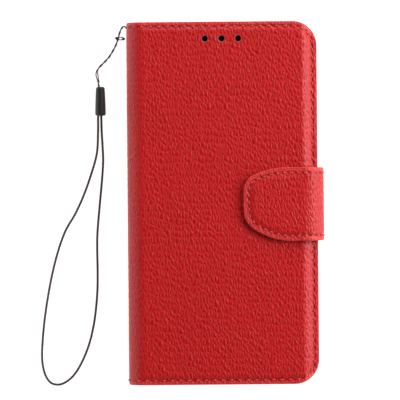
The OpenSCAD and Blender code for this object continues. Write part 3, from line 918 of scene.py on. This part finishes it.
def stitches(name, *seam):
    return mesh_object(name, *joined(stitch_parts(*seam)), THREAD, sharp=60)


def hide_thread(name, pick):
    return stitches(name, HIDE_EDGE, wrap, outer_face, lining_face, pick)


def sewn_on_back(u, v):
    """Stitches stop short of the string's hole."""
    return u <= BACK_CUT and math.hypot(u - CORD_HOLE[0], v - CORD_HOLE[1]) > 2.4


front_thread = hide_thread("front_thread", lambda u, v: u > FRONT_CUT)
spine_thread = hide_thread("spine_thread", lambda u, v: BACK_CUT < u <= FRONT_CUT)
back_thread = hide_thread("back_thread", sewn_on_back)


def bends(piece, crease, finish, *nodes):
    """A piece with its placing baked into its mesh, standing in for these CAD nodes. crease, the two bodies
    and where the bend starts and ends, is not used.
    """
    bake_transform(piece)
    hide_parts(*nodes)


CREASE = 1.7  # half the width that a crease bends over
SPINE_ANGLE, FOOT_CREASE_Z = 150, 4.9  # where the creases are in the spine's turn and at its foot
spine_angle = math.radians(SPINE_ANGLE)
spine_out = np.array([math.cos(spine_angle), 0, math.sin(spine_angle)])
spine_along = np.array([-math.sin(spine_angle), 0, math.cos(spine_angle)])
spine_mid = np.array([TURN_X, 0, TURN_Z]) + (TURN_R - (SKIN + LINING_T) / 2) * spine_out
front_crease = (("spine_2", "front_cover"), (TURN_X - CREASE, 0, CASE_H), (TURN_X + CREASE, 0, CASE_H))
spine_crease = (("spine_1", "spine_2"), spine_mid + CREASE * spine_along, spine_mid - CREASE * spine_along)
foot_start, foot_end = ((-EDGE_X, 0, FOOT_CREASE_Z + k) for k in (CREASE, -CREASE))
back_crease = (("spine_1", "back_half"), foot_start, foot_end)
bends(front_leather, front_crease, "outer_leather", "front_skin")
bends(front_inside, front_crease, "lining", "front_lining")
bends(front_thread, front_crease, "thread", "front_stitching")
bends(spine_leather, spine_crease, "outer_leather", "spine_skin_1", "spine_skin_2")
bends(spine_inside, spine_crease, "lining", "spine_lining_1", "spine_lining_2")
bends(spine_thread, spine_crease, "thread", "spine_stitching_1", "spine_stitching_2")
bends(back_leather, back_crease, "outer_leather", "back_skin")
bends(back_inside, back_crease, "lining", "back_lining")
bends(back_thread, back_crease, "thread", "back_stitching")

# ---------------------------------------------------------------- the strap
# The strap is one strip too: u is X on the tab, carried on round the turn, down the side and into the back
# cover's edge.
TAB_TOP = cad("strap_tab_skin")[1][2]
STRAP_X = cad("strap_side_skin")[1][0]
STRAP_SKIN, STRAP_LINING, STRAP_CORE = 0.8, 0.6, 1.0
STRAP_R = 8.8
STRAP_TURN_X, STRAP_TURN_Z = STRAP_X - STRAP_R, TAB_TOP - STRAP_R
FOOT_R, FOOT_Z = 2.6, 3.5
STRAP_SEAM = 2.3
PARED = 0.22  # how much thinner the strap's leather is inside the back cover
CORE_END = (30, 35.5)  # the u over which the strap's core ends
RIM_U, RIM_D = (29, 36), (1.9, 5.2)  # the same for the tab's thin rim, in u and inside the outline
S_TURN = math.pi / 2 * STRAP_R
S_WEB = S_TURN + STRAP_TURN_Z - FOOT_Z
S_FOOT = S_WEB + math.pi / 2 * FOOT_R
STRAP_END = STRAP_TURN_X + S_FOOT + 3.2
STRAP_CUT = STRAP_TURN_X + S_TURN + 3.6
TAB_POINTS = [
    [35, 15.1], [26, 15.1], [20.5, 14.3], [15.5, 12.8], [12, 11.2], [9.9, 8.6], [9.1, 5.4], [9, 1],
    [9.1, -3.4], [9.8, -7.2], [13, -11], [17.9, -13.8], [22.1, -15.4], [27.5, -16.4], [35, -16.4],
]


def strap_wrap(u, v, depth):
    """The point of the closed strap at a place on its strip, this far inside its outer face."""
    s = u - STRAP_TURN_X
    turn = math.pi / 2 - s / STRAP_R
    foot = -(s - S_WEB) / FOOT_R
    cases = [s < 0, s < S_TURN, s < S_WEB, s < S_FOOT]
    turn_r, foot_r = STRAP_R - depth, FOOT_R - depth
    foot_x = STRAP_X - FOOT_R
    x = [u, STRAP_TURN_X + turn_r * np.cos(turn), STRAP_X - depth, foot_x + foot_r * np.cos(foot)]
    z = [TAB_TOP - depth, STRAP_TURN_Z + turn_r * np.sin(turn), STRAP_TURN_Z - s + S_TURN]
    z.append(FOOT_Z + foot_r * np.sin(foot))
    x = np.select(cases, x, foot_x - s + S_FOOT)
    return np.stack([x, v, np.select(cases, z, FOOT_Z - FOOT_R + depth)], axis=1)


strap_line = np.concatenate([[[STRAP_END, STRAP_HIGH]], smooth(TAB_POINTS, 8), [[STRAP_END, STRAP_LOW]]])
STRAP_EDGE = Edge(spaced(strap_line, 0.3), STRAP_SEAM, False, STRAP_STITCH)


def strap_rim(u, d):
    """How much thinner the tab is than over its core, near its outline."""
    return STRAP_CORE * (1 - step(u, *RIM_U)) * (1 - step(d, *RIM_D))


def strap_pad(u, d):
    """Depth of the tab's outer face, which rises over its core."""
    return 0.5 * strap_rim(u, d)


def strap_thin(u):
    """How much the strap's leather is pared where it goes into the back cover."""
    return PARED * step(u, STRAP_TURN_X + S_WEB, STRAP_TURN_X + S_FOOT)


def strap_face(u, v, d, gap, along):
    return strap_pad(u, d) + seam_dip(d, along, STRAP_SEAM, *STRAP_DIP) + rounding(d, 1.1, 0.5)


def strap_back(u, v, d, gap, along):
    return strap_pad(u, d) + STRAP_SKIN - strap_thin(u)


def strap_lining_back(u, v, d, gap, along):
    core = STRAP_CORE * (1 - step(u, *CORE_END))
    inner = STRAP_SKIN + core - strap_pad(u, d)
    return np.maximum(inner, strap_back(u, v, d, gap, along)) - strap_thin(u) * (core <= 1e-6)


def strap_lining_face(u, v, d, gap, along):
    dip = seam_dip(d, along, STRAP_SEAM, *STRAP_LINING_DIP)
    low = strap_lining_back(u, v, d, gap, along) + STRAP_LINING - 0.8 * strap_thin(u)
    return low - np.minimum(dip, 0.25) - rounding(d, 0.3)


def strap_sheet(name, cuts, faces, finish, pitch, relief):
    return sheet(name, STRAP_EDGE, cuts, [], strap_wrap, faces, finish, pitch, relief, back_pitch=1.2)


def strap_stitches(name, pick):
    return stitches(name, STRAP_EDGE, strap_wrap, strap_face, strap_lining_face, pick)


TAB, SIDE = (-FAR, STRAP_CUT), (STRAP_CUT, STRAP_END - 0.2)
STRAP_FACES, STRAP_LINING_FACES = (strap_face, strap_back), (strap_lining_face, strap_lining_back)
STRAP_SEEN = STRAP_TURN_X + S_FOOT - 1.0
tab_leather = strap_sheet("strap_tab_leather", TAB, STRAP_FACES, OUTER, 0.30, STRAP_GRAIN)
side_leather = strap_sheet("strap_side_leather", SIDE, STRAP_FACES, OUTER, 0.36, STRAP_GRAIN)
tab_inside = strap_sheet("strap_tab_lining_sheet", TAB, STRAP_LINING_FACES, LINING, 0.6, LINING_GRAIN)
side_inside = strap_sheet("strap_side_lining_sheet", SIDE, STRAP_LINING_FACES, LINING, 0.6, LINING_GRAIN)
tab_thread = strap_stitches("strap_tab_thread", lambda u, v: u < STRAP_CUT)
side_thread = strap_stitches("strap_side_thread", lambda u, v: STRAP_CUT <= u < STRAP_SEEN)

TAB_CREASE = 2.4
diagonal = math.sqrt(0.5)
tab_out = diagonal * (STRAP_R - (STRAP_SKIN + STRAP_LINING) / 2) * np.array([1, 0, 1])
tab_mid = np.array([STRAP_TURN_X, 0, STRAP_TURN_Z]) + tab_out
tab_along = TAB_CREASE * diagonal * np.array([-1, 0, 1])
tab_crease = (("strap_side", "strap_tab"), tab_mid - tab_along, tab_mid + tab_along)
side_crease = (("back_half", "strap_side"), (EDGE_X + 0.1, 0, 1.2), (STRAP_X - 0.5, 0, 4.4))
bends(tab_leather, tab_crease, "outer_leather", "strap_tab_skin")
bends(tab_inside, tab_crease, "lining", "strap_tab_lining")
bends(tab_thread, tab_crease, "thread", "strap_tab_stitching")
bends(side_leather, side_crease, "outer_leather", "strap_side_skin", "strap_anchor")
bends(side_inside, side_crease, "lining", "strap_side_lining")
bends(side_thread, side_crease, "thread", "strap_side_stitching")

# ---------------------------------------------------------------- pockets
# The pockets' panels lie under the front cover and face down, so their u is minus X.
pocket_threads = []
covered = -FAR  # the top of the pocket before, which covers this one's foot
for node in ("card_pocket_1", "card_pocket_2", "card_pocket_3", "cash_pocket"):
    low, high = cad(node)
    edge = Edge(rounded_rectangle((-high[0], low[1]), (-low[0], high[1]), 1.0), POCKET_SEAM, True)

    def down(u, v, depth, foot=low[2]):
        return np.stack([-u, v, foot + depth], axis=1)

    def panel_face(u, v, d, gap, along, top=high[1], seen=covered):
        shows = step(v, seen - 1, seen + 0.5)
        hem = 0.06 * step(top - v, 3.4, 3.9)
        return shows * (seam_dip(d, along, POCKET_SEAM, *POCKET_DIP) + hem) + rounding(d, 0.3, 0.25)

    def panel_back(u, v, d, gap, along, thick=high[2] - low[2]):
        return np.full(len(u), thick)

    both = (panel_face, panel_back)
    panel = sheet(node + "_panel", edge, (-FAR, FAR), [], down, both, LINING, 0.9, 0.02, back_pitch=4)
    rides(panel, "front_cover", node)
    pocket_threads.append((edge, down, panel_face, covered))
    covered = high[1]

parts = []
for edge, down, panel_face, seen in pocket_threads:
    parts += stitch_parts(edge, down, panel_face, None, lambda u, v, seen=seen: v > seen + 1)
pocket_thread = mesh_object("card_pocket_thread", *joined(parts), THREAD, sharp=60)
rides(pocket_thread, "front_cover", "card_pocket_stitching")


# ---------------------------------------------------------------- the strap's anchor seam
def anchor_face(u, v, d, gap, along):
    """The floor of the anchor seam's groove, in the underside of the back cover."""
    return np.full(len(u), ANCHOR_DEPTH)


anchor_thread = stitches("strap_anchor_thread", ANCHOR_EDGE, wrap, anchor_face, None, lambda u, v: True)
rides(anchor_thread, "back_half", "strap_anchor_stitching")

# ---------------------------------------------------------------- CAD pieces that stay
tray_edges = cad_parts["phone_tray"].modifiers.new("edges", "BEVEL")
tray_edges.width = 0.22 * MM
tray_edges.segments = 2
tray_edges.limit_method = "ANGLE"
tray_edges.angle_limit = math.radians(50)
for node, finish in (
    ("back_board", BOARD_GREY),
    ("front_board", BOARD_GREY),
    ("tray_adhesive", GLUE),
    ("phone_tray", TRAY),
    ("strap_core", BOARD_GREY),
    ("strap_magnet", STEEL),
    ("keeper_plate", STEEL),
):
    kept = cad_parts[node]
    kept.data.materials.clear()
    kept.data.materials.append(finish)

# ---------------------------------------------------------------- floor and light
FLOOR, FLOOR_DROP = 3.0, 0.00003  # half the floor's width and its depth below the case, in metres
floor_mesh = bpy.data.meshes.new("floor")
corners = [(x * FLOOR, y * FLOOR, -FLOOR_DROP) for x, y in ((-1, -1), (1, -1), (1, 1), (-1, 1))]
floor_mesh.from_pydata(corners, [], [(0, 1, 2, 3)])
floor = bpy.data.objects.new("floor", floor_mesh)
bpy.context.collection.objects.link(floor)
paper, _, paper_shader = material("floor_paper")
paper_shader.inputs["Base Color"].default_value = (0.45, 0.45, 0.45, 1)
paper_shader.inputs["Emission Color"].default_value = (1, 1, 1, 1)
paper_shader.inputs["Emission Strength"].default_value = 0.92
paper_shader.inputs["Roughness"].default_value = 0.9
floor_mesh.materials.append(paper)

world = bpy.data.worlds.new("world")
bpy.context.scene.world = world
world.use_nodes = True
sky = Nodes(world.node_tree)
direction = sky.add("ShaderNodeTexCoord").outputs["Generated"]
up = sky.add("ShaderNodeSeparateXYZ", {0: direction}).outputs[2]
glow = sky.ramp(up, 0.05, 0.6, 2.1, 0.01)
background = world.node_tree.nodes["Background"]
sky.put(background.inputs["Strength"], glow)
background.inputs["Color"].default_value = (1, 1, 1, 1)


def lamp(name, at, aim, size, power):
    """A square softbox. Its place, aim and size are in metres."""
    light = bpy.data.lights.new(name, "AREA")
    light.shape = "RECTANGLE"
    light.size, light.size_y = size
    light.energy = power
    obj = bpy.data.objects.new(name, light)
    bpy.context.collection.objects.link(obj)
    obj.location = at
    obj.rotation_euler = (Vector(aim) - Vector(at)).to_track_quat("-Z", "Y").to_euler()


lamp("key", (0.72, 0.28, 0.60), (0, 0, 0), (0.35, 0.45), 6.4)
lamp("side", (0.85, -0.05, 0.38), (0, 0, 0), (0.5, 0.2), 2.6)
lamp("top", (0.10, 0.85, 0.50), (0, 0, 0), (0.5, 0.4), 4.2)
lamp("fill", (-0.80, 0.00, 0.50), (0, 0, 0), (0.6, 0.5), 0.8)
bpy.context.scene.view_settings.view_transform = "Standard"
